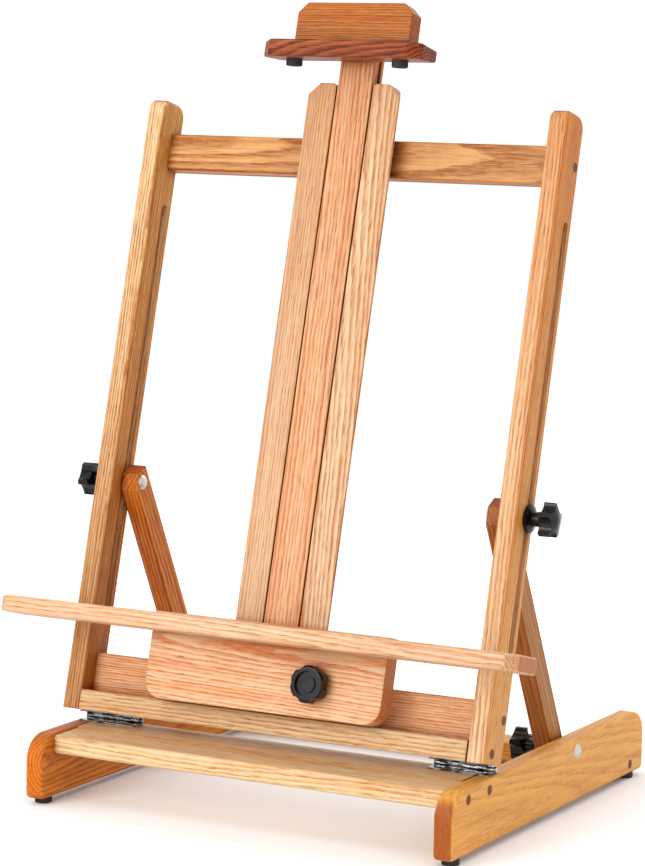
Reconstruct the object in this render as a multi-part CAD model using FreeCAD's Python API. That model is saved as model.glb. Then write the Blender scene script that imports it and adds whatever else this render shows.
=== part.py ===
import FreeCAD, Part
import math
import os

# Tabletop H-frame easel in oiled oak.  Millimetres, +Z up, +X to the viewer's right, +Y to the rear.
# The origin is the centre of the base footprint on the floor.
# Base parts are drawn in place.  Frame, mast and tray parts are drawn upright about the hinge
# axis and are then laid back by TILT.  Strut parts are drawn upright about their lower pivot.

V = FreeCAD.Vector
X_AXIS = V(1, 0, 0)
Y_AXIS = V(0, 1, 0)
Z_AXIS = V(0, 0, 1)

# ---- driving dimensions -------------------------------------------------------------------
STOCK = 20.0              # thickness of the oak boards
BASE_WIDTH = 470.0
RAIL_LENGTH = 448.0
FOOT_HEIGHT = 6.0
BASE_TOP = 68.9           # top of the side rails and of the front crossbar
RAIL_FRONT_RADIUS = 26.0
RAIL_REAR_RADIUS = 24.0
RAIL_LOW_RADIUS = 6.0

CROSSBAR_FRONT = 22.0     # distances from the front end of the rails
CROSSBAR_STEP = 62.0
CROSSBAR_REAR = 108.0
CROSSBAR_DROP = 1.6       # the front half of the crossbar top is this much lower
REAR_BAR_FRONT = 395.0
REAR_BAR_REAR = 433.0

TILT = 14.5               # lean of the frame from upright in the drawn pose, degrees
HINGE_Y = 104.5           # hinge axis, from the front end of the rails
HINGE_GAP = 3.4           # hinge axis to the wood above it and to the wood below it
HINGE_LENGTH = 63.5
HINGE_INNER = 165.0       # |x| of the inner end of each hinge
LEAF_DEPTH = 17.0
LEAF = 1.6
KNUCKLE_R = 3.1
KNUCKLE_GAP = 0.3         # each knuckle stops this far short of its share of the barrel
PIN_R = 1.5

POST_DEPTH = 41.0         # front to back size of the uprights
POST_LENGTH = 626.0
AXIS_W = 42.0             # hinge axis behind the front face of the uprights
SLOT_LOW = 96.0           # slot ends, measured up the uprights
SLOT_HIGH = 516.0
SLOT_W = 26.5             # slot centreline behind the front face
SLOT_WIDTH = 9.6

TOP_RAIL = (557.0, 594.5)
REAR_RAIL = (20.5, 59.0)
BOTTOM_RAIL_TOP = 20.5
RAIL_W = 21.0             # front faces of the top rail and the lower rear rail

GUIDE_TOP = 646.5
GUIDE_HALF = 51.0
GUIDE_INNER = 20.5
MAST_HALF = 19.2
MAST_LOW = 24.0
MAST_TOP = 712.0

LEDGE = (661.3, 679.5)    # front edge of the holder ledge
LEDGE_REAR_LOW = 668.5    # its underside rises to here at the mast
LEDGE_HALF = 88.0
LEDGE_FRONT = -45.0
HOLDER_TOP = 723.5
HOLDER_HALF = 64.0
PAD_X = 59.0
PAD_W = -22.0

SHELF = (86.2, 102.7)
SHELF_HALF = 285.0
SHELF_FRONT = -70.5
TRAY_FACE = -20.3
TRAY_BACK = 0.7
TRAY_LOW = 20.8
TRAY_TOP = 106.0
TRAY_HALF = 130.5
TRAY_BOLT = (57.0, 52.5)

PIVOT_Y = 279.0           # lower strut pivot, from the front end of the rails
PIVOT_Z = 56.3
STRUT_LENGTH = 281.07     # between the two bolt centres
STRUT_LEAN = 27.219       # forward lean of the struts in the drawn pose, degrees
STRUT_HALF = 13.0
STRUT_OUTER = 214.5
STRUT_INNER = 195.0

BOLT_R = 3.0
NECK_HALF = 3.3           # half the width of the square neck under a carriage bolt's head
RUN = 0.05                # radial running clearance on shafts
FACE_GAP = 0.4            # knob flange to the face it closes on

HALF = BASE_WIDTH / 2.0
INNER = HALF - STOCK
AXIS_Y = HINGE_Y - RAIL_LENGTH / 2.0
AXIS_Z = BASE_TOP + HINGE_GAP


# ---- small tools --------------------------------------------------------------------------
def box(x0, x1, y0, y1, z0, z1):
    return Part.makeBox(x1 - x0, y1 - y0, z1 - z0, V(x0, y0, z0))


def rod(radius, start, end):
    line = end - start
    return Part.makeCylinder(radius, line.Length, start, line)


def cone(r0, r1, start, end):
    line = end - start
    return Part.makeCone(r0, r1, line.Length, start, line)


def prism(points, direction):
    """Solid from a closed outline and a sweep vector."""
    outline = Part.makePolygon([V(*p) for p in points] + [V(*points[0])])
    return Part.Face(outline).extrude(direction)


def edges_along(shape, axis, test=None):
    """Straight edges parallel to an axis, optionally filtered by their midpoint."""
    found = []
    for edge in shape.Edges:
        if not isinstance(edge.Curve, (Part.Line, Part.LineSegment)):
            continue
        run = edge.Vertexes[1].Point - edge.Vertexes[0].Point
        if run.cross(axis).Length > 1e-6 * max(run.Length, 1e-9):
            continue
        if test is None or test(edge.CenterOfMass):
            found.append(edge)
    return found


def soften(shape, radius, axis, test=None):
    return shape.makeFillet(radius, edges_along(shape, axis, test))


def ease(shape, radius, test=None):
    """Round over every edge that passes the test."""
    chosen = [e for e in shape.Edges if test is None or test(e.CenterOfMass)]
    return shape.makeFillet(radius, chosen)


def mirrored(shape):
    return shape.mirror(V(0, 0, 0), X_AXIS)


def from_front(y):
    """Distance from the front end of the rails to a Y coordinate."""
    return y - RAIL_LENGTH / 2.0


def joined(solids):
    return Part.makeCompound(solids)


def cut_all(shape, tools):
    for tool in tools:
        shape = shape.cut(tool)
    return shape


def one_solid(shape):
    return shape.Solids[0] if len(shape.Solids) == 1 else shape


# frame coordinates: u across, v up the uprights, w behind their front face
def fp(u, v, w):
    return V(u, w - AXIS_W, v + HINGE_GAP)


def fbox(u0, u1, v0, v1, w0, w1):
    return box(u0, u1, w0 - AXIS_W, w1 - AXIS_W, v0 + HINGE_GAP, v1 + HINGE_GAP)


def place_frame(shape):
    out = shape.copy()
    out.rotate(V(0, 0, 0), X_AXIS, -TILT)
    out.translate(V(0, AXIS_Y, AXIS_Z))
    return out


def place_strut(shape):
    out = shape.copy()
    out.rotate(V(0, 0, 0), X_AXIS, STRUT_LEAN)
    out.translate(V(0, from_front(PIVOT_Y), PIVOT_Z))
    return out


# ---- fasteners ----------------------------------------------------------------------------
def flat_screw(head, direction, length, head_r=3.4, shank_r=1.7):
    """Countersunk screw with its head flush at the given point, and the seat it cuts in wood."""
    d = V(direction).normalize()
    sink = head_r - shank_r
    body = cone(head_r, shank_r, head, head + d * sink)
    body = body.fuse(rod(shank_r, head + d * sink, head + d * (length - 4)))
    body = body.fuse(cone(shank_r, 0.3, head + d * (length - 4), head + d * length))
    seat = body.removeSplitter()
    return seat.cut(rod(0.9, head, head + d * 0.9)), seat


def plug_and_screw(face, direction, length):
    """Round wood plug flush with a face and the assembly screw under it."""
    d = V(direction).normalize()
    plug = rod(4.8, face, face + d * 5.0)
    screw = rod(4.2, face + d * 5.0, face + d * 7.4)
    screw = screw.fuse(rod(2.1, face + d * 7.4, face + d * (length - 6)))
    screw = screw.fuse(cone(2.1, 0.4, face + d * (length - 6), face + d * length))
    return plug, screw.removeSplitter()


def carriage_bolt(face, direction, length):
    """Low domed head standing on a face, square neck and plain shank behind it."""
    rise, head_r = 3.4, 7.5
    ball = (head_r ** 2 + rise ** 2) / (2 * rise)
    half = math.asin(head_r / ball) / 2
    crown = V(ball * math.sin(half), 0, ball - rise - ball * math.cos(half))
    arc = Part.Arc(V(0, 0, -rise), crown, V(head_r, 0, 0)).toShape()
    corners = [V(head_r, 0, 0), V(BOLT_R, 0, 0), V(BOLT_R, 0, length), V(0, 0, length),
               V(0, 0, -rise)]
    outline = Part.Wire([arc] + Part.makePolygon(corners).Edges)
    body = Part.Face(outline).revolve(V(0, 0, 0), Z_AXIS, 360)
    neck = box(-NECK_HALF, NECK_HALF, -NECK_HALF, NECK_HALF, 0, 3.0)
    return turned(body.fuse(neck).removeSplitter(), direction, face)


def star_knob(bore_depth):
    """Five-lobed star knob drawn along +Z with its flange on Z = 0."""
    flange = Part.makeCylinder(13.4, 2.6).fuse(cone(13.4, 7.2, V(0, 0, 2.6), V(0, 0, 5.6)))
    neck = Part.makeCylinder(7.0, 12.0, V(0, 0, 4.6))
    head = Part.makeCylinder(18.0, 11.0, V(0, 0, 15.5))
    crown = cone(18.0, 3.0, V(0, 0, 26.5), V(0, 0, 31.0))
    head = head.fuse(crown)
    for k in range(5):
        a = math.radians(36 + 72 * k)
        head = head.cut(Part.makeCylinder(9.6, 40, V(20.4 * math.cos(a), 20.4 * math.sin(a), 8)))
    for k in range(5):
        tip = box(17.2, 24.0, -12, 12, 12, 34)
        tip.rotate(V(0, 0, 0), Z_AXIS, 72 * k)
        head = head.cut(tip)
    knob = flange.fuse(neck).fuse(head).removeSplitter()
    return knob.cut(Part.makeCylinder(BOLT_R + RUN, bore_depth, V(0, 0, -0.01)))


def turned(shape, direction, at):
    """Turn a part drawn along +Z to another direction and move it."""
    out = shape.copy()
    turn = FreeCAD.Rotation(Z_AXIS, V(direction))
    out.Placement = FreeCAD.Placement(V(at), turn)
    return out


# ---- base ---------------------------------------------------------------------------------
def side_rail():
    x0, x1 = INNER, HALF
    rail = box(x0, x1, from_front(0), from_front(RAIL_LENGTH), FOOT_HEIGHT, BASE_TOP)
    mid_z = (FOOT_HEIGHT + BASE_TOP) / 2
    rail = soften(rail, RAIL_FRONT_RADIUS, X_AXIS, lambda c: c.y < 0 and c.z > mid_z)
    rail = soften(rail, RAIL_REAR_RADIUS, X_AXIS, lambda c: c.y > 0 and c.z > mid_z)
    rail = soften(rail, RAIL_LOW_RADIUS, X_AXIS, lambda c: c.z < mid_z)
    outer = [e for e in rail.Edges if abs(e.CenterOfMass.x - x1) < 0.01]
    rail = rail.makeFillet(4.0, outer)
    inner = [e for e in rail.Edges if abs(e.CenterOfMass.x - x0) < 0.01]
    return rail.makeFillet(3.0, inner)


def crossbars():
    z0 = BASE_TOP - STOCK
    front = box(-INNER, INNER, from_front(CROSSBAR_FRONT), from_front(CROSSBAR_REAR), z0, BASE_TOP)
    step = box(-INNER, INNER, from_front(CROSSBAR_FRONT), from_front(CROSSBAR_STEP),
               BASE_TOP - CROSSBAR_DROP, BASE_TOP)
    front = front.cut(step)
    front = soften(front, 3.5, X_AXIS, lambda c: c.y < from_front(CROSSBAR_FRONT) + 1)
    rear = box(-INNER, INNER, from_front(REAR_BAR_FRONT), from_front(REAR_BAR_REAR),
               FOOT_HEIGHT + 0.5, FOOT_HEIGHT + 0.5 + STOCK)
    rear = soften(rear, 2.0, X_AXIS)
    return front, rear


def build_base(parts):
    right = side_rail()
    left = mirrored(right)
    front, rear = crossbars()

    plugs, screws = [], []
    spots = [(33.0, BASE_TOP - STOCK / 2), (78.0, BASE_TOP - STOCK / 2),
             (414.0, FOOT_HEIGHT + 0.5 + STOCK / 2)]
    for side in (1, -1):
        for y, z in spots:
            plug, screw = plug_and_screw(V(side * HALF, from_front(y), z), V(-side, 0, 0), 52)
            plugs.append(plug)
            screws.append(screw)

    feet, foot_screws = [], []
    for x in (-HALF + 10, HALF - 10):
        for y in (18.0, 424.0):
            base = V(x, from_front(y), 0)
            foot = Part.makeCylinder(8.5, FOOT_HEIGHT, base)
            foot = foot.makeFillet(1.0, [foot.Edges[2]])
            foot = foot.cut(Part.makeCylinder(3.6, 2.5, base))
            screw = rod(3.3, base + V(0, 0, 1.0), base + V(0, 0, 2.5))
            screw = screw.fuse(rod(1.7, base + V(0, 0, 2.5), base + V(0, 0, 20)))
            foot_screws.append(screw.removeSplitter())
            feet.append(foot.cut(foot_screws[-1]))

    leaves, knuckle_pins, leaf_screws, leaf_seats = [], [], [], []
    for side in (1, -1):
        leaf, pin, fixings, seats = lower_leaf(side)
        leaves.append(leaf)
        knuckle_pins.append(pin)
        leaf_screws += fixings
        leaf_seats += seats

    bolts = []
    tools = plugs + screws + foot_screws + leaf_seats
    for side in (1, -1):
        face = V(side * HALF, from_front(PIVOT_Y), PIVOT_Z)
        bolts.append(carriage_bolt(face, V(-side, 0, 0), HALF - STRUT_INNER + FACE_GAP + 22.0))
    tools += bolts

    parts["left_side_rail"] = cut_all(left, tools)
    parts["right_side_rail"] = cut_all(right, tools)
    parts["front_crossbar"] = cut_all(front, screws + leaf_seats)
    parts["rear_crossbar"] = cut_all(rear, screws)
    parts["base_plugs"] = joined(plugs)
    parts["base_screws"] = joined(screws)
    parts["rubber_feet"] = joined(feet)
    parts["foot_screws"] = joined(foot_screws)
    parts["right_hinge_lower_leaf"] = leaves[0]
    parts["left_hinge_lower_leaf"] = leaves[1]
    parts["hinge_pins"] = joined(knuckle_pins)
    parts["lower_leaf_screws"] = joined(leaf_screws)
    parts["lower_strut_bolts"] = joined(bolts)


# ---- hinges, drawn about the hinge axis ---------------------------------------------------
def knuckle_spans():
    pitch = HINGE_LENGTH / 5.0
    starts = [HINGE_INNER + k * pitch for k in range(5)]
    return [(start + KNUCKLE_GAP, start + pitch - KNUCKLE_GAP) for start in starts]


def leaf_body(kept, bore_r, sign):
    """One hinge leaf; sign is -1 for the leaf under the axis and +1 for the leaf above it."""
    z0, z1 = sorted((sign * HINGE_GAP, sign * (HINGE_GAP - LEAF)))
    x0, x1 = HINGE_INNER + KNUCKLE_GAP, HINGE_INNER + HINGE_LENGTH - KNUCKLE_GAP
    plate = box(x0, x1, -LEAF_DEPTH, 0, z0, z1)
    spans = knuckle_spans()
    for k, (a, b) in enumerate(spans):
        if k not in kept:
            reach = 2 * KNUCKLE_GAP
            plate = plate.cut(rod(KNUCKLE_R + 0.4, V(a - reach, 0, 0), V(b + reach, 0, 0)))
            plate = plate.cut(box(a - reach, b + reach, -2.0, 1, z0 - 1, z1 + 1))
    for k in kept:
        a, b = spans[k]
        plate = plate.fuse(rod(KNUCKLE_R, V(a, 0, 0), V(b, 0, 0)))
    plate = plate.removeSplitter()
    return plate.cut(rod(bore_r, V(HINGE_INNER - 5, 0, 0), V(HINGE_INNER + HINGE_LENGTH + 5, 0, 0)))


def leaf_screw_set(sign):
    """Three flat-head screws that enter a leaf from its inner face, with their seats."""
    fixings, seats = [], []
    for x in (HINGE_INNER + 10, HINGE_INNER + HINGE_LENGTH / 2, HINGE_INNER + HINGE_LENGTH - 8.5):
        head = V(x, -10.5, sign * (HINGE_GAP - LEAF))
        screw, seat = flat_screw(head, V(0, 0, sign), 15.0, 3.0, 1.5)
        fixings.append(screw)
        seats.append(seat)
    return fixings, seats


def lower_leaf(side):
    leaf = leaf_body((0, 2, 4), PIN_R, -1)
    fixings, seats = leaf_screw_set(-1)
    leaf = cut_all(leaf, seats)
    x0, x1 = HINGE_INNER, HINGE_INNER + HINGE_LENGTH
    pin = rod(PIN_R, V(x0 - 0.4, 0, 0), V(x1 + 0.4, 0, 0))
    for x, d in ((x0 + KNUCKLE_GAP, -1), (x1 - KNUCKLE_GAP, 1)):
        pin = pin.fuse(rod(2.5, V(x, 0, 0), V(x + d * 1.2, 0, 0)))
    pin = pin.removeSplitter()
    out = [leaf, pin] + fixings + seats
    if side < 0:
        out = [mirrored(s) for s in out]
    for s in out:
        s.translate(V(0, AXIS_Y, AXIS_Z))
    return out[0], out[1], out[2:5], out[5:8]


def upper_leaf(side):
    leaf = leaf_body((1, 3), PIN_R + RUN, 1)
    fixings, seats = leaf_screw_set(1)
    out = [cut_all(leaf, seats)] + fixings + seats
    if side < 0:
        out = [mirrored(s) for s in out]
    return out[0], out[1:4], out[4:7]


# ---- tilting frame, drawn upright about the hinge axis ------------------------------------
def upright():
    post = fbox(INNER, HALF, 0, POST_LENGTH, 0, POST_DEPTH)
    top = fp(0, POST_LENGTH, 0).z
    post = soften(post, 14.0, X_AXIS, lambda c: c.z > top - 1 and c.y > fp(0, 0, 20).y)
    post = soften(post, 9.0, X_AXIS, lambda c: c.z > top - 1)
    low = fp(0, 1, 0).z
    post = ease(post, 4.0, lambda c: c.z > low)
    slot = fbox(INNER - 1, HALF + 1, SLOT_LOW, SLOT_HIGH, SLOT_W - SLOT_WIDTH / 2,
                SLOT_W + SLOT_WIDTH / 2)
    for v in (SLOT_LOW, SLOT_HIGH):
        slot = slot.fuse(rod(SLOT_WIDTH / 2, fp(INNER - 1, v, SLOT_W), fp(HALF + 1, v, SLOT_W)))
    return post.cut(slot.removeSplitter())


def guide_strip():
    outline = [(GUIDE_INNER, 1.0), (GUIDE_HALF, 1.0), (GUIDE_HALF, 4.0), (GUIDE_HALF - 9.5, RAIL_W),
               (GUIDE_INNER, RAIL_W), (GUIDE_INNER, 15.6), (GUIDE_INNER - 5.3, 15.6),
               (GUIDE_INNER - 5.3, 10.1), (GUIDE_INNER, 10.1)]
    low = BOTTOM_RAIL_TOP
    strip = prism([tuple(fp(u, low, w)) for u, w in outline], V(0, 0, GUIDE_TOP - low))
    front_y = fp(0, 0, 1.0).y
    strip = soften(strip, 1.2, Z_AXIS, lambda c: c.y < front_y + 0.01)
    corner = [(GUIDE_HALF + 1, GUIDE_TOP - 13.0), (GUIDE_HALF + 1, GUIDE_TOP + 1),
              (GUIDE_HALF - 14.0, GUIDE_TOP + 1)]
    strip = strip.cut(prism([tuple(fp(u, v, 0)) for u, v in corner], V(0, 30, 0)))
    nose = fbox(GUIDE_INNER - 6, GUIDE_INNER + 4, GUIDE_TOP - 4, GUIDE_TOP + 1, 0, 22)
    nose_u, nose_v = GUIDE_INNER + 4, GUIDE_TOP - 4
    nose = nose.cut(rod(4.0, fp(nose_u, nose_v, -1), fp(nose_u, nose_v, 23)))
    return strip.cut(nose)


def build_frame(parts):
    posts = {"right": upright()}
    posts["left"] = mirrored(posts["right"])
    top_rail = fbox(-INNER, INNER, TOP_RAIL[0], TOP_RAIL[1], RAIL_W, POST_DEPTH)
    rear_rail = fbox(-INNER, INNER, REAR_RAIL[0], REAR_RAIL[1], RAIL_W, POST_DEPTH)
    bottom_rail = fbox(-INNER, INNER, 0, BOTTOM_RAIL_TOP, 0, POST_DEPTH)
    top_rail = soften(top_rail, 2.5, X_AXIS)
    rear_rail = soften(rear_rail, 1.5, X_AXIS, lambda c: c.z > fp(0, 50, 0).z)
    bottom_rail = soften(bottom_rail, 1.5, X_AXIS, lambda c: c.y < fp(0, 0, 5).y)

    plugs, screws = [], []
    for side in (1, -1):
        for v, w in ((576.0, 31.0), (43.0, 31.0), (10.2, 14.2)):
            plug, screw = plug_and_screw(fp(side * HALF, v, w), V(-side, 0, 0), 52)
            plugs.append(plug)
            screws.append(screw)

    guide_screws, guide_seats = [], []
    for side in (1, -1):
        for u, v in ((28.0, 582.0), (34.0, 570.0), (28.0, 48.0), (34.0, 32.0)):
            screw, seat = flat_screw(fp(side * u, v, POST_DEPTH), V(0, -1, 0), 34.0)
            guide_screws.append(screw)
            guide_seats.append(seat)

    strip = guide_strip()
    strips = {"right": strip, "left": mirrored(strip)}

    leaf_screws, leaf_seats = [], []
    for side, name in ((1, "right"), (-1, "left")):
        leaf, fixings, seats = upper_leaf(side)
        parts[name + "_hinge_upper_leaf"] = place_frame(leaf)
        leaf_screws += fixings
        leaf_seats += seats

    lock_v = 576.0
    insert_hole = rod(5.0, fp(0, lock_v, RAIL_W + 1.0), fp(0, lock_v, POST_DEPTH))
    bore = rod(BOLT_R + RUN, fp(0, lock_v, RAIL_W - 1), fp(0, lock_v, POST_DEPTH + 1))
    lock_insert = insert_hole.cut(bore)
    stud_way = rod(BOLT_R + 0.6, fp(0, lock_v, RAIL_W - 1), fp(0, lock_v, RAIL_W + 1.5))

    frame_tools = plugs + screws + leaf_seats
    for name in ("left", "right"):
        parts[name + "_upright"] = place_frame(cut_all(posts[name], frame_tools))
    for name in ("left", "right"):
        parts[name + "_mast_guide"] = place_frame(cut_all(strips[name], guide_seats))
    lock_ways = [insert_hole, stud_way]
    parts["top_rail"] = place_frame(cut_all(top_rail, screws + guide_seats + lock_ways))
    parts["lower_rear_rail"] = place_frame(cut_all(rear_rail, screws + guide_seats))
    parts["bottom_rail"] = place_frame(cut_all(bottom_rail, screws + leaf_seats))
    parts["frame_plugs"] = place_frame(joined(plugs))
    parts["frame_screws"] = place_frame(joined(screws))
    parts["guide_screws"] = place_frame(joined(guide_screws))
    parts["upper_leaf_screws"] = place_frame(joined(leaf_screws))
    parts["mast_lock_insert"] = place_frame(lock_insert)

    knob = turned(star_knob(24.0), Y_AXIS, fp(0, lock_v, POST_DEPTH + FACE_GAP + 0.2))
    stud = rod(BOLT_R, fp(0, lock_v, RAIL_W + 0.1), fp(0, lock_v, POST_DEPTH + 20))
    parts["mast_lock_stud"] = place_frame(stud)
    parts["mast_lock_knob"] = place_frame(knob.cut(stud))


# ---- sliding mast with the upper canvas holder --------------------------------------------
def build_mast(parts):
    mast = fbox(-MAST_HALF, MAST_HALF, MAST_LOW, MAST_TOP, 1.0, 20.6)
    mast = soften(mast, 1.0, Z_AXIS, lambda c: c.y < fp(0, 0, 1.1).y)
    for side in (1, -1):
        edge, floor = side * (MAST_HALF + 1), side * 14.8
        mast = mast.cut(fbox(min(edge, floor), max(edge, floor), MAST_LOW - 1, MAST_TOP + 1, 9.7, 16.0))

    ledge_outline = [(-LEDGE_HALF, 1.0), (-LEDGE_HALF, LEDGE_FRONT + 11.5),
                     (-LEDGE_HALF + 11.5, LEDGE_FRONT), (LEDGE_HALF - 11.5, LEDGE_FRONT),
                     (LEDGE_HALF, LEDGE_FRONT + 11.5), (LEDGE_HALF, 1.0)]
    ledge = prism([tuple(fp(u, LEDGE[0], w)) for u, w in ledge_outline], V(0, 0, LEDGE[1] - LEDGE[0]))
    rise = LEDGE_REAR_LOW - LEDGE[0]
    depth = 1.0 - LEDGE_FRONT
    under = [(LEDGE_FRONT - 10, -rise * 10 / depth), (11.0, rise * (depth + 10) / depth),
             (11.0, -20.0), (LEDGE_FRONT - 10, -20.0)]
    under = [tuple(fp(-LEDGE_HALF - 5, LEDGE[0] + v, w)) for w, v in under]
    ledge = ledge.cut(prism(under, V(2 * LEDGE_HALF + 10, 0, 0)))
    ledge = soften(ledge, 5.0, Z_AXIS)
    ledge = ease(ledge, 2.0, lambda c: c.y < fp(0, 0, -4).y)

    cut = 10.0
    board_outline = [(-HOLDER_HALF, LEDGE[1]), (-HOLDER_HALF, HOLDER_TOP - cut),
                     (-HOLDER_HALF + cut, HOLDER_TOP), (HOLDER_HALF - cut, HOLDER_TOP),
                     (HOLDER_HALF, HOLDER_TOP - cut), (HOLDER_HALF, LEDGE[1])]
    board = prism([tuple(fp(u, v, -19.0)) for u, v in board_outline], V(0, 20.0, 0))
    board = soften(board, 3.0, Y_AXIS, lambda c: c.z > fp(0, LEDGE[1] + 5, 0).z)
    board = ease(board, 1.2, lambda c: c.y < fp(0, 0, -18.9).y and c.z > fp(0, LEDGE[1] + 3, 0).z)

    pads, pad_screws = [], []
    down = V(0, rise, -depth).normalize()
    for u in (-PAD_X, PAD_X):
        seat = fp(u, LEDGE[0] + rise * (PAD_W - LEDGE_FRONT) / depth, PAD_W)
        pad = Part.makeCylinder(8.2, 7.5, seat, down)
        rim = [e for e in pad.Edges if e.CenterOfMass.distanceToPoint(seat + down * 7.5) < 0.01]
        pad = pad.makeFillet(1.6, rim)
        pad = pad.cut(Part.makeCylinder(3.8, 3.0, seat + down * 4.5, down))
        screw = rod(3.5, seat + down * 6.3, seat + down * 4.5)
        screw = screw.fuse(rod(1.7, seat + down * 4.5, seat - down * 11))
        screw = screw.removeSplitter()
        pads.append(pad.cut(screw))
        pad_screws.append(screw)

    holder_screws, seats = [], []
    for u, v in ((-9.0, 702.0), (9.0, 702.0), (-9.0, 674.0), (9.0, 674.0)):
        screw, seat = flat_screw(fp(u, v, 20.6), V(0, -1, 0), 34.0)
        holder_screws.append(screw)
        seats.append(seat)

    parts["centre_mast"] = place_frame(cut_all(mast, seats))
    parts["holder_ledge"] = place_frame(cut_all(ledge, seats + pad_screws))
    parts["holder_board"] = place_frame(cut_all(board, seats))
    parts["holder_pads"] = place_frame(joined(pads))
    parts["pad_screws"] = place_frame(joined(pad_screws))
    parts["holder_screws"] = place_frame(joined(holder_screws))


# ---- sliding tray -------------------------------------------------------------------------
def tray_knob():
    """Six-lobed hand knob drawn along +Z with its back on Z = 0 and a dished front."""
    body = Part.makeCylinder(11.0, 6.0).fuse(Part.makeCylinder(18.2, 12.0, V(0, 0, 5.0)))
    rim = [e for e in body.Edges if abs(e.CenterOfMass.z - 17.0) < 0.01]
    body = body.makeFillet(3.0, rim)
    for k in range(6):
        a = math.radians(60 * k)
        body = body.cut(Part.makeCylinder(7.4, 20, V(23.2 * math.cos(a), 23.2 * math.sin(a), 4)))
    dish = Part.makeCylinder(12.4, 4.0, V(0, 0, 14.0))
    dish = dish.cut(Part.makeCylinder(8.5, 2.6, V(0, 0, 13.0)))
    body = body.cut(dish).removeSplitter()
    return body.cut(Part.makeCylinder(BOLT_R + RUN, 12.0, V(0, 0, -0.01)))


def build_tray(parts):
    outline = [(-SHELF_HALF, TRAY_FACE), (-SHELF_HALF, SHELF_FRONT + 12),
               (-SHELF_HALF + 12, SHELF_FRONT), (SHELF_HALF - 12, SHELF_FRONT),
               (SHELF_HALF, SHELF_FRONT + 12), (SHELF_HALF, TRAY_FACE)]
    shelf = prism([tuple(fp(u, SHELF[0], w)) for u, w in outline], V(0, 0, SHELF[1] - SHELF[0]))
    shelf = soften(shelf, 5.0, Z_AXIS, lambda c: c.y < fp(0, 0, TRAY_FACE - 1).y)
    shelf = ease(shelf, 3.5, lambda c: c.y < fp(0, 0, TRAY_FACE - 2).y)

    board = fbox(-TRAY_HALF, TRAY_HALF, TRAY_LOW, TRAY_TOP, TRAY_FACE, TRAY_BACK)
    board = soften(board, 19.0, Y_AXIS, lambda c: c.z < fp(0, TRAY_LOW + 1, 0).z)
    board = soften(board, 3.0, Y_AXIS, lambda c: c.z > fp(0, TRAY_TOP - 1, 0).z)
    board = ease(board, 1.2, lambda c: c.y < fp(0, 0, TRAY_FACE + 0.1).y)

    block_outline = [(51.35, TRAY_BACK), (51.35, 4.1), (42.25, 20.4), (74.0, 20.4), (74.0, TRAY_BACK)]
    block = prism([tuple(fp(u, 24.0, w)) for u, w in block_outline], V(0, 0, 60.0))
    block = soften(block, 2.0, Z_AXIS, lambda c: c.x > 73)

    u, v = TRAY_BOLT
    bolt = rod(BOLT_R, fp(u, v, 16.4), fp(u, v, TRAY_FACE - FACE_GAP - 10.5))
    turns = [math.radians(60 * k) for k in range(6)]
    hexagon = [fp(u + 5.2 * math.cos(a), v + 5.2 * math.sin(a), 20.4) for a in turns]
    head = prism([tuple(p) for p in hexagon], V(0, -4.0, 0))
    bolt = bolt.fuse(head).removeSplitter()

    screws, seats = [], []
    starts = [(fp(side * 66.0, height, 20.4), 34.0) for side in (1, -1) for height in (31.0, 76.0)]
    starts += [(fp(across, 94.4, TRAY_BACK), 50.0) for across in (-105.0, 0.0, 105.0)]
    for start, length in starts:
        screw, seat = flat_screw(start, V(0, -1, 0), length)
        screws.append(screw)
        seats.append(seat)

    parts["tray_shelf"] = place_frame(cut_all(shelf, seats))
    parts["tray_board"] = place_frame(cut_all(board, seats + [bolt]))
    parts["right_clamp_block"] = place_frame(cut_all(block, seats + [bolt]))
    parts["left_guide_block"] = place_frame(cut_all(mirrored(block), seats))
    parts["tray_clamp_bolt"] = place_frame(bolt)
    parts["tray_screws"] = place_frame(joined(screws))
    parts["tray_knob"] = place_frame(turned(tray_knob(), V(0, -1, 0), fp(u, v, TRAY_FACE - FACE_GAP)))


# ---- struts, drawn upright about the lower pivot ------------------------------------------
def strut_body():
    """Right strut with a rounded foot and one large bevel on its front top corner."""
    end = STRUT_LENGTH + 11.5
    outline = [(-STRUT_HALF, 0), (-STRUT_HALF, end - 13), (-2.0, end), (STRUT_HALF, end),
               (STRUT_HALF, 0)]
    body = prism([(STRUT_INNER, y, z) for y, z in outline], V(STRUT_OUTER - STRUT_INNER, 0, 0))
    body = body.fuse(rod(STRUT_HALF, V(STRUT_INNER, 0, 0), V(STRUT_OUTER, 0, 0))).removeSplitter()
    body = ease(body, 1.5, lambda c: c.x < STRUT_INNER + 0.01 or c.x > STRUT_OUTER - 0.01)
    return body.cut(rod(BOLT_R + RUN, V(STRUT_INNER - 1, 0, 0), V(STRUT_OUTER + 1, 0, 0)))


def build_struts(parts):
    for side, name in ((1, "right"), (-1, "left")):
        body = strut_body()
        if side < 0:
            body = mirrored(body)
        face = V(side * STRUT_INNER, 0, STRUT_LENGTH)
        length = HALF + FACE_GAP + 22.0 - STRUT_INNER
        bolt = carriage_bolt(face, V(side, 0, 0), length)
        parts[name + "_strut"] = place_strut(body.cut(bolt))
        parts[name + "_strut_bolt"] = place_strut(bolt)
        upper = turned(star_knob(24.0), V(side, 0, 0), V(side * (HALF + FACE_GAP), 0, STRUT_LENGTH))
        parts[name + "_upper_knob"] = place_strut(upper)
        at = V(side * (STRUT_INNER - FACE_GAP), from_front(PIVOT_Y), PIVOT_Z)
        parts[name + "_lower_knob"] = turned(star_knob(24.0), V(-side, 0, 0), at)


def main():
    os.makedirs("parts", exist_ok=True)
    parts = {}
    build_base(parts)
    build_frame(parts)
    build_mast(parts)
    build_tray(parts)
    build_struts(parts)
    for name, shape in sorted(parts.items()):
        one_solid(shape).exportStep("parts/" + name + ".step")


main()
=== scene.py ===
import math

import bpy
from mathutils import Matrix, Vector


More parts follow.
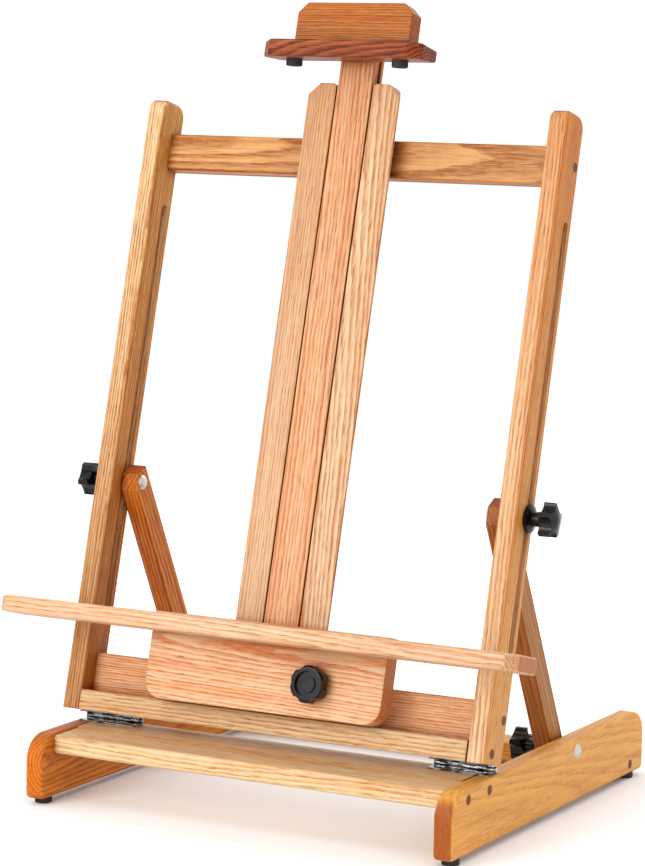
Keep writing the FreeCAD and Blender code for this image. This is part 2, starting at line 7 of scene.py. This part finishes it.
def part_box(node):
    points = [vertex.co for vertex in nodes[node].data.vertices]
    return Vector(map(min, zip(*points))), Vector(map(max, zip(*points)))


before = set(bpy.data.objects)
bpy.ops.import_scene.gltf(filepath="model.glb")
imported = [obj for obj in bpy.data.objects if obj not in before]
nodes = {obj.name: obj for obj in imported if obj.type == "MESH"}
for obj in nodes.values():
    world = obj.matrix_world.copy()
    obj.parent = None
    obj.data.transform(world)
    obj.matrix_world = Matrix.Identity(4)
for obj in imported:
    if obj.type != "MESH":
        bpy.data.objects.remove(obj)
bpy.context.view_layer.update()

# the row frame: +X to the object's right, +Y to its back, +Z up, in metres
TILT = math.radians(14.5)      # how far the uprights lean back in the rest pose
LEAN = math.radians(27.219)    # how far the struts lean forward
X = Vector((1, 0, 0))
Y = Vector((0, 1, 0))
Z = Vector((0, 0, 1))
UP = Vector((0, math.sin(TILT), math.cos(TILT)))        # up the uprights
BACK = Vector((0, math.cos(TILT), -math.sin(TILT)))     # out of the back of the frame
STRUT = Vector((0, -math.sin(LEAN), math.cos(LEAN)))    # up a strut
STRUT_SIDE = Vector((0, math.cos(LEAN), math.sin(LEAN)))


def linear(r, g, b):
    """An 8-bit display colour as linear RGBA."""
    def one(c):
        c /= 255
        return c / 12.92 if c <= 0.04045 else ((c + 0.055) / 1.055) ** 2.4
    return (one(r), one(g), one(b), 1.0)


ALBEDO = 0.70    # share of a tone seen in soft light that the surface itself reflects


def stain(rgb):
    """A board tone as seen in soft light, as the board's own reflectance."""
    return tuple(c * ALBEDO for c in linear(*rgb)[:3]) + (1.0,)


# ---- node helpers ---------------------------------------------------------------------------
class Graph:
    """Short ways to add nodes to one tree."""

    def __init__(self, tree):
        self.tree = tree

    def add(self, kind, **props):
        node = self.tree.nodes.new(kind)
        for key, value in props.items():
            setattr(node, key, value)
        return node

    def put(self, socket, value):
        if isinstance(value, bpy.types.NodeSocket):
            self.tree.links.new(value, socket)
        else:
            socket.default_value = value

    def math(self, operation, *values, clamp=False):
        node = self.add("ShaderNodeMath", operation=operation, use_clamp=clamp)
        for socket, value in zip(node.inputs, values):
            self.put(socket, value)
        return node.outputs[0]

    def vector(self, operation, *values):
        node = self.add("ShaderNodeVectorMath", operation=operation)
        for socket, value in zip(node.inputs, values):
            self.put(socket, value)
        return node.outputs["Value" if operation == "DOT_PRODUCT" else "Vector"]

    def combine(self, x, y, z):
        node = self.add("ShaderNodeCombineXYZ")
        for socket, value in zip(node.inputs, (x, y, z)):
            self.put(socket, value)
        return node.outputs[0]

    def separate(self, value):
        node = self.add("ShaderNodeSeparateXYZ")
        self.put(node.inputs[0], value)
        return node.outputs

    def noise(self, place, scale=1.0, detail=2.0, rough=0.5, output="Fac"):
        node = self.add("ShaderNodeTexNoise")
        self.put(node.inputs["Vector"], place)
        node.inputs["Scale"].default_value = scale
        node.inputs["Detail"].default_value = detail
        node.inputs["Roughness"].default_value = rough
        return node.outputs[output]

    def span(self, value, low, high, to_low=0.0, to_high=1.0):
        """A smooth step: to_low where value is low or less, to_high where it is high or more."""
        node = self.add("ShaderNodeMapRange", clamp=True, interpolation_type="SMOOTHSTEP")
        for socket, v in zip(node.inputs, (value, low, high, to_low, to_high)):
            self.put(socket, v)
        return node.outputs[0]

    def mix(self, factor, a, b, blend="MIX"):
        node = self.add("ShaderNodeMix", data_type="RGBA", blend_type=blend)
        node.clamp_factor = True
        self.put(node.inputs[0], factor)
        self.put(node.inputs[6], a)
        self.put(node.inputs[7], b)
        return node.outputs[2]

    def ramp(self, value, stops):
        """A grey level that runs through stops, each (value, level)."""
        node = self.add("ShaderNodeValToRGB")
        self.put(node.inputs[0], value)
        elements = node.color_ramp.elements
        while len(elements) < len(stops):
            elements.new(0.5)
        for element, (at, level) in zip(elements, stops):
            element.position = at
            element.color = (level, level, level, 1)
        return node.outputs[0]


def new_material(name):
    """A material with nothing in it but its shader, with that shader and its graph."""
    mat = bpy.data.materials.new(name)
    mat.use_nodes = True
    mat.node_tree.nodes.clear()
    g = Graph(mat.node_tree)
    shader = g.add("ShaderNodeBsdfPrincipled")
    out = g.add("ShaderNodeOutputMaterial")
    g.put(out.inputs["Surface"], shader.outputs[0])
    return mat, g, shader


def dress(node_name, mat):
    """Puts one material on a whole CAD node."""
    mesh = nodes[node_name].data
    mesh.materials.clear()
    mesh.materials.append(mat)


# ---- oak ------------------------------------------------------------------------------------
# noise frequencies in cycles per metre, as (along the grain, across it)
BEND_WAVES = (2.2, 11.0)
FINE_WAVES = (34.0, 150.0)
DASH_WAVES = (46.0, 460.0)
STREAK_WAVES = (24.0, 620.0)
FIBRE_WAVES = (90.0, 1500.0)
PORE_WAVES = (60.0, 1900.0)
BROAD_WAVES = (5.0, 30.0)
WIDE_WAVES = (1.7, 9.0)
RAY_WAVES = (160.0, 330.0)
BAND_WAVES = (2.6, 95.0)
PALE_WAVES = (3.4, 140.0)
END_PORE_WAVES = (0.5, 1500.0)
BEND_SIZE = 0.012              # how far the rings wander off a true cylinder, in metres
FINE_SIZE = 0.0024
SEED_STEPS = (13.1, 7.7, 3.3)  # how far each board's seed moves it through the noise
RING_WAVES = 90.0              # how quickly the ring widths change, in cycles per metre
RING_SPREAD = 1.6              # by how many rings they run ahead or behind
# across one ring, from porous early wood to dense late wood, as (place, early wood)
RING_PROFILE = ((0.0, 0.75), (0.09, 1.0), (0.34, 0.62), (0.62, 0.12), (0.92, 0.0), (1.0, 0.75))
ARRIS_DEPTH = 0.0035           # how far in from an edge the painted edge shade and handling wear reach, in metres
EDGE_SHADE_AND_WEAR_TINT = (0.72, 0.47, 0.27, 1)
CORNER_SHADE_DEPTH = 0.012          # how far out of a corner the painted shade reaches, in metres
CORNER_SHADE_POWERS = (1.6, 2.3)    # the painted corner shade takes green and blue down faster than red

BOARD_INPUTS = (
    ("Place", "Vector"), ("Pith Y", "Float"), ("Pith Z", "Float"), ("Slope Y", "Float"),
    ("Slope Z", "Float"), ("Spacing", "Float"), ("Contrast", "Float"), ("Seed", "Float"),
    ("End", "Float"), ("Light", "Color"), ("Early", "Color"), ("Pore", "Color"),
    ("Narrow", "Float"), ("Narrow Shade", "Color"), ("Sapwood", "Color"), ("End Tint", "Color"),
    ("Low Falloff And Tone", "Color"), ("High Falloff And Tone", "Color"), ("Length", "Float"))
BOARD_OUTPUTS = (("Color", "Color"), ("Roughness", "Float"), ("Height", "Float"))


class Grain(Graph):
    """The oak group's graph, with what all its parts share: its inputs, and noise that runs along
    the grain. Places are in metres, with x along the grain and y and z across it."""

    def __init__(self, tree):
        super().__init__(tree)
        self.given = self.add("NodeGroupInput").outputs
        moves = (self.math("MULTIPLY", self.given["Seed"], step) for step in SEED_STEPS)
        self.shift = self.combine(*moves)

    def waves(self, rates, **settings):
        """Noise with one frequency along the grain and another across it."""
        along, across = rates
        scaled = self.vector("MULTIPLY", self.given["Place"], (along, across, across))
        return self.noise(self.vector("ADD", scaled, self.shift), **settings)

    def wander(self, rates, size, **settings):
        """A sideways vector that wanders through size."""
        noise = self.waves(rates, output="Color", **settings)
        centred = self.vector("SUBTRACT", noise, (0.5, 0.5, 0.5))
        return self.vector("MULTIPLY", centred, (0, size, size))

    def tinted(self, colour, tint):
        return self.mix(1.0, colour, tint, blend="MULTIPLY")


def rings(g):
    """Growth rings round a slanted pith: how much of each place is early wood, and a level that
    is the same all round one ring."""
    given = g.given
    x, y, z = g.separate(given["Place"])
    bend = g.wander(BEND_WAVES, BEND_SIZE, detail=1.0)
    fine = g.wander(FINE_WAVES, FINE_SIZE, detail=3.0, rough=0.6)
    _, by, bz = g.separate(g.vector("ADD", bend, fine))
    ry = g.math("ADD", g.math("SUBTRACT", y, given["Pith Y"]),
                g.math("MULTIPLY_ADD", x, given["Slope Y"], by))
    rz = g.math("ADD", g.math("SUBTRACT", z, given["Pith Z"]),
                g.math("MULTIPLY_ADD", x, given["Slope Z"], bz))
    radius = g.math("SQRT", g.math("ADD", g.math("MULTIPLY", ry, ry), g.math("MULTIPLY", rz, rz)))
    line = g.combine(g.math("MULTIPLY", radius, RING_WAVES), given["Seed"], 0.0)
    ring = g.math("ADD", g.math("DIVIDE", radius, given["Spacing"]),
                  g.math("MULTIPLY", g.noise(line, detail=0.0), RING_SPREAD))
    early = g.ramp(g.math("FRACT", ring), RING_PROFILE)
    whole = g.add("ShaderNodeTexWhiteNoise", noise_dimensions="1D")
    g.put(whole.inputs["W"], g.math("FLOOR", ring))
    return early, whole.outputs["Value"]


def face_colour(g, early, per_ring, streak, pore, broad):
    """Early wood, streaks, pores and rays over the board's tone, which changes slowly, and an
    end-to-end tint that is partly painted light falloff.
    """
    given = g.given
    contrast = given["Contrast"]
    coarse = g.math("MULTIPLY_ADD", contrast, 0.75, 0.25)
    dash = g.span(g.waves(DASH_WAVES, detail=2.0, rough=0.6), 0.36, 0.66)
    band = g.span(g.waves(BAND_WAVES, detail=2.0, rough=0.6), 0.48, 0.70)
    pale = g.span(g.waves(PALE_WAVES, detail=2.0, rough=0.6), 0.52, 0.72)
    ray = g.span(g.waves(RAY_WAVES, detail=1.0), 0.60, 0.74)
    broken = g.math("MULTIPLY_ADD", dash, 0.50, 0.50)
    strength = g.math("MULTIPLY", g.math("MULTIPLY", early, broken),
                      g.math("MULTIPLY", contrast, g.math("MULTIPLY_ADD", per_ring, 0.9, 0.7)),
                      clamp=True)
    strength = g.math("MULTIPLY_ADD", band, 0.34, g.math("MULTIPLY", strength, 0.95), clamp=True)
    streaks = g.math("MULTIPLY", streak, g.math("MULTIPLY_ADD", early, 0.7, 0.40))
    pores = g.math("MULTIPLY", pore, coarse)
    colour = g.mix(g.math("MULTIPLY", pale, 0.55), given["Light"], given["Sapwood"])
    colour = g.mix(strength, colour, given["Early"])
    colour = g.mix(g.math("MULTIPLY", streaks, coarse), colour, given["Early"])
    colour = g.mix(g.math("MULTIPLY", pores, 0.85), colour, given["Pore"])
    colour = g.mix(g.math("MULTIPLY", ray, 0.16), colour, given["Light"])

    wide = g.waves(WIDE_WAVES, detail=1.0)
    fibre = g.waves(FIBRE_WAVES, detail=2.0, rough=0.6)
    tone = g.math("ADD", g.math("MULTIPLY_ADD", broad, 0.24, 0.70), g.math("MULTIPLY", wide, 0.20))
    tone = g.math("MULTIPLY_ADD", fibre, 0.30, g.math("SUBTRACT", tone, 0.06))
    toned = g.vector("SCALE", colour)
    g.put(toned.node.inputs["Scale"], tone)
    # painted light falloff along the board, together with the board's own tone: a tint from one end
    # to the other
    x = g.separate(given["Place"])["X"]
    reach = g.math("ADD", g.math("DIVIDE", x, given["Length"]), 0.5)
    return g.tinted(toned, g.mix(reach, given["Low Falloff And Tone"], given["High Falloff And Tone"]))


def edge_colour(g, colour):
    """The face colour, changed on end grain, with painted shade on narrow faces, painted edge shade
    with handling wear along edges, and painted shade in corners.
    """
    given = g.given
    end = g.span(given["End"], 0.55, 0.92)
    end_pore = g.span(g.waves(END_PORE_WAVES, detail=1.0), 0.5, 0.62)
    dark = g.tinted(colour, given["End Tint"])
    dark = g.mix(g.math("MULTIPLY", end_pore, 0.35), dark, given["Pore"])
    colour = g.mix(g.math("MULTIPLY", end, 0.9), colour, dark)
    # painted shade: narrow faces darker and more saturated than the wide ones
    narrow = g.span(given["Narrow"], 0.35, 0.90)
    colour = g.mix(narrow, colour, g.tinted(colour, given["Narrow Shade"]))

    # painted edge shade together with handling wear: darker near convex edges
    arris = g.add("ShaderNodeAmbientOcclusion", samples=6, inside=True, only_local=True)
    arris.inputs["Distance"].default_value = ARRIS_DEPTH
    edge_shade_and_wear = g.span(arris.outputs["AO"], 0.30, 0.80, 0.80, 0.0)
    colour = g.mix(edge_shade_and_wear, colour, g.tinted(colour, EDGE_SHADE_AND_WEAR_TINT))
    # painted shade in corners and between parts, stronger in green and blue
    corner = g.add("ShaderNodeAmbientOcclusion", samples=6)
    corner.inputs["Distance"].default_value = CORNER_SHADE_DEPTH
    open_air = g.span(corner.outputs["AO"], 0.10, 0.90, 0.40, 1.0)
    corner_shade_by_channel = (g.math("POWER", open_air, power) for power in CORNER_SHADE_POWERS)
    return g.tinted(colour, g.combine(open_air, *corner_shade_by_channel))


def oak_group():
    """Ring-porous oak, from where a place is in its board and how the board was cut."""
    tree = bpy.data.node_groups.new("oak_grain", "ShaderNodeTree")
    for way, sockets in (("INPUT", BOARD_INPUTS), ("OUTPUT", BOARD_OUTPUTS)):
        for name, kind in sockets:
            tree.interface.new_socket(name, in_out=way, socket_type="NodeSocket" + kind)
    g = Grain(tree)
    early, per_ring = rings(g)
    streak = g.span(g.waves(STREAK_WAVES, detail=3.0, rough=0.65), 0.44, 0.66)
    pore = g.span(g.waves(PORE_WAVES, detail=1.0), 0.53, 0.64)
    pore = g.math("MULTIPLY", pore, g.math("MULTIPLY_ADD", early, 0.8, 0.2))
    broad = g.waves(BROAD_WAVES, detail=2.0)

    out = g.add("NodeGroupOutput").inputs
    g.put(out["Color"], edge_colour(g, face_colour(g, early, per_ring, streak, pore, broad)))
    g.put(out["Roughness"], g.math("ADD", g.math("MULTIPLY_ADD", pore, 0.20, 0.36),
                                   g.math("MULTIPLY", broad, 0.14)))
    g.put(out["Height"], g.math("SUBTRACT", g.math("MULTIPLY_ADD", streak, -0.25, 1.0),
                                g.math("MULTIPLY_ADD", pore, 0.8, g.math("MULTIPLY", early, 0.15))))
    return tree


OAK = oak_group()
PORE = (158, 82, 36)                # tone of the open pores
NARROW_SHADE = (0.86, 0.74, 0.56)    # painted shade on the narrow faces against the wide ones
END_TINT = (0.68, 0.40, 0.20)       # end grain against the faces
EVEN = ((1, 1, 1), (1, 1, 1))       # no painted light falloff or change of tone from one end of a board to the other
SAPWOOD = 0.30                      # how far the palest streaks go from the board's tone to white
# how the log lay relative to the board, as (pith y, pith z, slope y, slope z, ring spacing)
FLAT = (0.004, -0.040, 0.004, 0.055, 0.0042)
FLAT_BACK = (0.004, 0.040, 0.004, -0.055, 0.0042)
RIFT = (0.090, -0.075, 0.010, 0.012, 0.0025)
STRAIGHT = (0.140, -0.055, 0.006, 0.008, 0.0024)


def oak(name, along, across, cut, light, early, seed, pore=PORE, contrast=0.8,
        narrow=NARROW_SHADE, end=END_TINT, light_falloff_and_tone=EVEN):
    """One board. along and across are its grain and width directions in the row frame, light and
    early its two tones, and the tints multiply them: painted shade on narrow faces, the end grain's
    own darker tone, and an end-to-end tint that is painted light falloff with some tone."""
    mat, g, shader = new_material("oak_" + name)
    low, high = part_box(name)
    turn = Matrix((along, across, along.cross(across)))
    middle = (low + high) / 2
    coords = g.add("ShaderNodeTexCoord")
    place = g.add("ShaderNodeMapping", vector_type="POINT")
    g.put(place.inputs["Vector"], coords.outputs["Object"])
    place.inputs["Rotation"].default_value = turn.to_euler()
    place.inputs["Location"].default_value = -(turn @ middle)
    grain = g.add("ShaderNodeGroup")
    grain.node_tree = OAK
    facing = g.vector("DOT_PRODUCT", coords.outputs["Normal"], tuple(along))
    g.put(grain.inputs["Place"], place.outputs[0])
    g.put(grain.inputs["End"], g.math("ABSOLUTE", facing))
    sideways = g.vector("DOT_PRODUCT", coords.outputs["Normal"], tuple(across))
    g.put(grain.inputs["Narrow"], g.math("ABSOLUTE", sideways))
    grain.inputs["Length"].default_value = sum(abs(a * b) for a, b in zip(high - low, along))
    for key, tint in (("Narrow Shade", narrow), ("End Tint", end), ("Low Falloff And Tone", light_falloff_and_tone[0]),
                      ("High Falloff And Tone", light_falloff_and_tone[1])):
        grain.inputs[key].default_value = tint + (1.0,)
    for key, value in zip(("Pith Y", "Pith Z", "Slope Y", "Slope Z", "Spacing"), cut):
        grain.inputs[key].default_value = value
    grain.inputs["Contrast"].default_value = contrast
    grain.inputs["Seed"].default_value = seed
    sapwood = tuple(c + (255 - c) * SAPWOOD for c in light)
    for key, tone in (("Light", light), ("Early", early), ("Pore", pore), ("Sapwood", sapwood)):
        grain.inputs[key].default_value = stain(tone)
    bump = g.add("ShaderNodeBump")
    bump.inputs["Strength"].default_value = 0.35
    bump.inputs["Distance"].default_value = 0.0004
    g.put(bump.inputs["Height"], grain.outputs["Height"])
    g.put(shader.inputs["Base Color"], grain.outputs["Color"])
    g.put(shader.inputs["Roughness"], grain.outputs["Roughness"])
    g.put(shader.inputs["Normal"], bump.outputs[0])
    shader.inputs["Specular IOR Level"].default_value = 0.16
    shader.inputs["Coat Weight"].default_value = 0.03
    shader.inputs["Coat Roughness"].default_value = 0.25
    dress(name, mat)


# name, grain and width directions, cut, light and early tones, seed, and what differs from plain
BOARDS = (
    # base
    ("right_side_rail", Y, Z, (-0.020, -0.050, 0.070, 0.030, 0.0050),
     (252, 183, 87), (220, 138, 68),
     3.1, dict(contrast=0.30, narrow=(0.95, 0.95, 0.90), end=(0.46, 0.17, 0.05))),
    ("left_side_rail", Y, Z, FLAT_BACK, (254, 171, 48), (210, 111, 18),
     4.7, dict(end=(1.05, 0.86, 0.46), light_falloff_and_tone=((0.86, 0.72, 0.56), (0.86, 0.72, 0.56)))),
    ("front_crossbar", X, Y, RIFT, (255, 228, 177), (232, 152, 86),
     5.3, dict(contrast=0.7, narrow=(1.0, 1.0, 1.0))),
    ("rear_crossbar", X, Y, FLAT, (255, 187, 94), (219, 129, 47), 6.9, dict()),
    # frame
    # end-to-end tints: painted light falloff, darker toward the top, on the right upright, the
    # guides and the mast; the left upright is darker towards the bottom; the left rail's pair is
    # one even tone
    ("left_upright", UP, X, (0.055, -0.060, 0.006, 0.010, 0.0029), (252, 213, 155), (195, 124, 62),
     7.7, dict(contrast=1.0, narrow=(0.80, 0.58, 0.26),
               light_falloff_and_tone=((0.74, 0.55, 0.40), (1.10, 1.16, 1.28)))),
    ("right_upright", UP, X, (0.060, 0.050, 0.012, 0.008, 0.0028), (252, 206, 153), (219, 138, 75),
     8.3, dict(narrow=(0.92, 0.68, 0.32), light_falloff_and_tone=((1.08, 1.25, 1.45), (0.88, 0.74, 0.60)))),
    ("top_rail", X, UP, (0.010, -0.022, 0.030, 0.040, 0.0065), (245, 181, 113), (174, 96, 38),
     9.1, dict()),
    ("lower_rear_rail", X, UP, STRAIGHT, (249, 197, 145), (218, 122, 64), 10.3, dict()),
    ("bottom_rail", X, BACK, RIFT, (255, 241, 209), (236, 165, 110), 11.9, dict()),
    ("left_mast_guide", UP, X, (0.075, 0.060, 0.010, 0.006, 0.0024),
     (243, 200, 158), (213, 148, 94),
     12.7, dict(contrast=0.7, narrow=(0.80, 0.62, 0.42),
                light_falloff_and_tone=((1.04, 1.12, 1.20), (0.92, 0.80, 0.66)))),
    ("right_mast_guide", UP, X, (-0.022, 0.024, 0.006, -0.040, 0.0036),
     (251, 216, 175), (213, 143, 88),
     13.3, dict(contrast=0.95, narrow=(0.80, 0.62, 0.42),
                light_falloff_and_tone=((1.02, 1.05, 1.10), (0.97, 0.95, 0.88)))),
    # mast and holder
    ("centre_mast", UP, X, (0.060, 0.070, 0.006, 0.010, 0.0026), (248, 198, 152), (221, 135, 81),
     14.9, dict(pore=(176, 86, 44), contrast=0.95, narrow=(0.80, 0.62, 0.42),
                light_falloff_and_tone=((1.03, 1.08, 1.10), (0.93, 0.89, 0.82)))),
    ("holder_board", X, UP, STRAIGHT, (215, 132, 55), (163, 75, 17), 15.1, dict(contrast=1.0)),
    ("holder_ledge", X, BACK, (0.030, -0.034, 0.180, 0.120, 0.0036), (196, 104, 56), (118, 48, 20),
     16.3, dict(pore=(86, 36, 18), contrast=1.0)),
    # tray
    ("tray_shelf", X, BACK, (0.070, 0.050, 0.010, 0.008, 0.0026), (250, 208, 168), (225, 155, 99),
     17.7, dict(contrast=0.7, narrow=(1.0, 1.0, 1.0))),
    ("tray_board", X, UP, (0.016, 0.030, 0.010, 0.030, 0.0033), (255, 218, 172), (241, 147, 88),
     18.1, dict(contrast=0.85)),
    ("left_guide_block", UP, X, RIFT, (244, 187, 127), (206, 128, 65), 19.9, dict()),
    ("right_clamp_block", UP, X, RIFT, (244, 187, 127), (206, 128, 65), 20.3, dict()),
    # struts
    ("left_strut", STRUT, STRUT_SIDE, (0.040, 0.060, 0.010, 0.012, 0.0038),
     (241, 142, 30), (147, 64, 14), 21.7, dict(contrast=0.9)),
    ("right_strut", STRUT, STRUT_SIDE, (0.050, -0.060, 0.010, 0.012, 0.0038),
     (198, 130, 62), (137, 71, 24), 22.9, dict(contrast=0.5)),
    # plugs
    ("base_plugs", X, Z, RIFT, (147, 96, 39), (107, 56, 15), 23.3, dict()),
    ("frame_plugs", X, Z, RIFT, (147, 96, 39), (107, 56, 15), 24.1, dict()),
)
for *board, extras in BOARDS:
    oak(*board, **extras)


# ---- metal, plastic and rubber --------------------------------------------------------------
# noise frequencies in cycles per metre
BRUSHED_WAVES = (60.0, 900.0, 900.0)
# frequencies of the painted dark reflection streaks, long along x
REFLECTION_WAVES = (95.0, 460.0, 460.0)
SCRATCH_DEPTH = 0.00004             # metres
GAP_SHADE_REACH = 0.003                 # how far out of a gap the painted shade reaches, in metres
# colour of the painted dark reflection streaks
REFLECTION_DARK = (0.030, 0.030, 0.030, 1)
# colour of the painted shade in gaps
GAP_SHADE = (0.012, 0.011, 0.010, 1)


def metal(name, colour, rough, reflection_strength=0.0):
    """Plated or turned metal: brushed lines, tarnish, painted shade in its gaps and painted dark
    reflection streaks.
    """
    mat, g, shader = new_material(name)
    place = g.add("ShaderNodeTexCoord").outputs["Object"]
    cloud = g.noise(place, scale=260.0, detail=3.0)
    lines = g.noise(g.vector("MULTIPLY", place, BRUSHED_WAVES), detail=2.0, rough=0.6)
    tarnish = g.span(g.noise(place, scale=420.0, detail=4.0), 0.45, 0.75)
    shade = tuple(c * 0.80 for c in colour[:3]) + (1.0,)
    # painted shade in gaps and seams, near black where the gap is tight
    gap = g.add("ShaderNodeAmbientOcclusion", samples=6)
    gap.inputs["Distance"].default_value = GAP_SHADE_REACH
    gap_shade = g.span(gap.outputs["AO"], 0.10, 0.75, 0.85, 0.0)
    clean = g.mix(g.math("MULTIPLY", tarnish, 0.5), colour, shade)
    # painted dark reflection streaks along x, standing in for dark surroundings mirrored in the
    # plate
    reflection_streaks = g.span(g.noise(g.vector("MULTIPLY", place, REFLECTION_WAVES), detail=1.0), 0.47, 0.57)
    clean = g.mix(g.math("MULTIPLY", reflection_streaks, reflection_strength), clean, REFLECTION_DARK)
    g.put(shader.inputs["Base Color"], g.mix(gap_shade, clean, GAP_SHADE))
    g.put(shader.inputs["Roughness"],
          g.math("ADD", g.math("MULTIPLY_ADD", cloud, 0.08, rough - 0.05),
                 g.math("MULTIPLY", lines, 0.06)))
    bump = g.add("ShaderNodeBump")
    bump.inputs["Strength"].default_value = 0.25
    bump.inputs["Distance"].default_value = SCRATCH_DEPTH
    g.put(bump.inputs["Height"], lines)
    g.put(shader.inputs["Normal"], bump.outputs[0])
    shader.inputs["Metallic"].default_value = 1.0
    return mat


def moulded(name, colour, rough, grain, depth):
    """Moulded plastic or rubber: fine texture, faint cloudiness and rubbed patches. grain is the
    texture's frequency in cycles per metre and depth its height in metres."""
    mat, g, shader = new_material(name)
    place = g.add("ShaderNodeTexCoord").outputs["Object"]
    cloud = g.noise(place, scale=120.0, detail=3.0)
    pebble = g.noise(place, scale=grain, detail=2.0)
    rubbed = g.span(g.noise(place, scale=45.0, detail=3.0), 0.5, 0.7)
    lighter = tuple(min(1.0, c * 1.8 + 0.002) for c in colour[:3]) + (1.0,)
    g.put(shader.inputs["Base Color"], g.mix(g.math("MULTIPLY", rubbed, 0.6), colour, lighter))
    g.put(shader.inputs["Roughness"],
          g.math("ADD", g.math("MULTIPLY_ADD", cloud, 0.18, rough - 0.09),
                 g.math("MULTIPLY", rubbed, 0.08)))
    bump = g.add("ShaderNodeBump")
    bump.inputs["Strength"].default_value = 0.3
    bump.inputs["Distance"].default_value = depth
    g.put(bump.inputs["Height"], pebble)
    g.put(shader.inputs["Normal"], bump.outputs[0])
    shader.inputs["Specular IOR Level"].default_value = 0.24
    return mat


# the nickel gets painted dark reflection streaks
nickel = metal("nickel_plate", (0.72, 0.73, 0.74, 1), 0.06, reflection_strength=0.90)
zinc = metal("zinc_plate", (0.56, 0.56, 0.54, 1), 0.28)
brass = metal("turned_brass", (0.78, 0.56, 0.24, 1), 0.26)
black = moulded("black_knob", (0.0035, 0.003, 0.0035, 1), 0.20, 1500.0, 0.00003)
rubber = moulded("black_rubber", (0.022, 0.021, 0.021, 1), 0.62, 900.0, 0.0001)

FINISHES = {
    nickel: ("right_hinge_lower_leaf", "left_hinge_lower_leaf", "right_hinge_upper_leaf",
             "left_hinge_upper_leaf", "hinge_pins", "lower_leaf_screws", "upper_leaf_screws"),
    zinc: ("base_screws", "foot_screws", "frame_screws", "guide_screws", "pad_screws",
           "holder_screws", "tray_screws", "tray_clamp_bolt", "mast_lock_stud",
           "lower_strut_bolts", "left_strut_bolt", "right_strut_bolt"),
    brass: ("mast_lock_insert",),
    black: ("mast_lock_knob", "tray_knob", "left_upper_knob", "right_upper_knob",
            "left_lower_knob", "right_lower_knob"),
    rubber: ("rubber_feet", "holder_pads"),
}
for mat, names in FINISHES.items():
    for name in names:
        dress(name, mat)


# ---- floor ----------------------------------------------------------------------------------
FLOOR_REACH = 40.0    # metres each way
corners = [(x * FLOOR_REACH, y * FLOOR_REACH, 0) for x, y in ((-1, -1), (1, -1), (1, 1), (-1, 1))]
mesh = bpy.data.meshes.new("floor")
mesh.from_pydata(corners, [], [(0, 1, 2, 3)])
floor = bpy.data.objects.new("floor", mesh)
bpy.context.scene.collection.objects.link(floor)
mat, g, shader = new_material("pale_floor")
place = g.add("ShaderNodeTexCoord").outputs["Object"]
soft = g.noise(place, scale=3.0, detail=2.0)
g.put(shader.inputs["Base Color"], g.mix(soft, (0.90, 0.90, 0.90, 1), (0.94, 0.94, 0.94, 1)))
shader.inputs["Roughness"].default_value = 1.0
shader.inputs["Specular IOR Level"].default_value = 0.0
mesh.materials.append(mat)


# ---- light ----------------------------------------------------------------------------------
# name, place and aim in metres, size in metres, power in watts, colour
WHITE = (1, 1, 1)
LAMPS = (
    ("key", (-0.9, -2.3, 1.35), (0, 0, 0.25), 1.1, 27, WHITE),
    ("front_fill", (1.9, -2.6, 1.0), (0, 0, 0.35), 1.6, 6, (1.0, 0.90, 0.78)),
    ("low_fill", (-0.2, -2.6, 0.35), (0, 0, 0.15), 0.8, 14, WHITE),
    ("back", (0.4, 2.4, 2.2), (0, 0, 0.3), 1.6, 12, WHITE),
)
for name, place, aim, size, power, colour in LAMPS:
    data = bpy.data.lights.new(name, "AREA")
    data.shape = "SQUARE"
    data.size = size
    data.energy = power
    data.color = colour
    lamp = bpy.data.objects.new(name, data)
    bpy.context.scene.collection.objects.link(lamp)
    lamp.location = place
    lamp.rotation_mode = "QUATERNION"
    lamp.rotation_quaternion = (Vector(aim) - Vector(place)).to_track_quat("-Z", "Y")

# white all round, but dimmer low down in front, which gives gloss something to reflect
WORLD_STRENGTH = 1.18
FRONT_LEVEL = 0.18
world = bpy.data.worlds.new("studio")
bpy.context.scene.world = world
world.use_nodes = True
world.node_tree.nodes.clear()
g = Graph(world.node_tree)
_, wy, wz = g.separate(g.add("ShaderNodeTexCoord").outputs["Generated"])
wall = g.span(wy, -0.95, -0.30, FRONT_LEVEL, 1.0)
sky = g.span(wz, 0.16, 0.55)
level = g.math("MAXIMUM", wall, sky)
background = g.add("ShaderNodeBackground")
g.put(background.inputs["Color"], g.combine(level, level, level))
background.inputs["Strength"].default_value = WORLD_STRENGTH
g.put(g.add("ShaderNodeOutputWorld").inputs[0], background.outputs[0])


# ---- camera, low and to the object's right --------------------------------------------------
AZIMUTH, ELEVATION, ROLL = math.radians(28.13), math.radians(6.58), math.radians(0.92)
TARGET = Vector((0.0, -0.034, 0.300))
OFFSET = Vector((0.02120, 0.09306, 3.05326))   # the camera from the target, along its own axes
SENSOR, LENS = 36.0, 127.64328                 # millimetres, the sensor's along its long side
SHIFT = (-0.033856813, -0.030877598)           # the view's middle off the lens axis, in sensors

back = Vector((math.sin(AZIMUTH) * math.cos(ELEVATION), -math.cos(AZIMUTH) * math.cos(ELEVATION),
               math.sin(ELEVATION)))
right = Vector((math.cos(AZIMUTH), math.sin(AZIMUTH), 0))
above = back.cross(right)
across = math.cos(ROLL) * right + math.sin(ROLL) * above
upward = -math.sin(ROLL) * right + math.cos(ROLL) * above
turn = Matrix((across, upward, back)).transposed()
data = bpy.data.cameras.new("camera")
data.sensor_width = SENSOR
data.lens = LENS
data.shift_x, data.shift_y = SHIFT
camera = bpy.data.objects.new("camera", data)
bpy.context.scene.collection.objects.link(camera)
camera.matrix_world = Matrix.Translation(TARGET + turn @ OFFSET) @ turn.to_4x4()
data.clip_start, data.clip_end = 0.05, 100.0
bpy.context.scene.camera = camera
bpy.context.scene.view_settings.view_transform = "Standard"
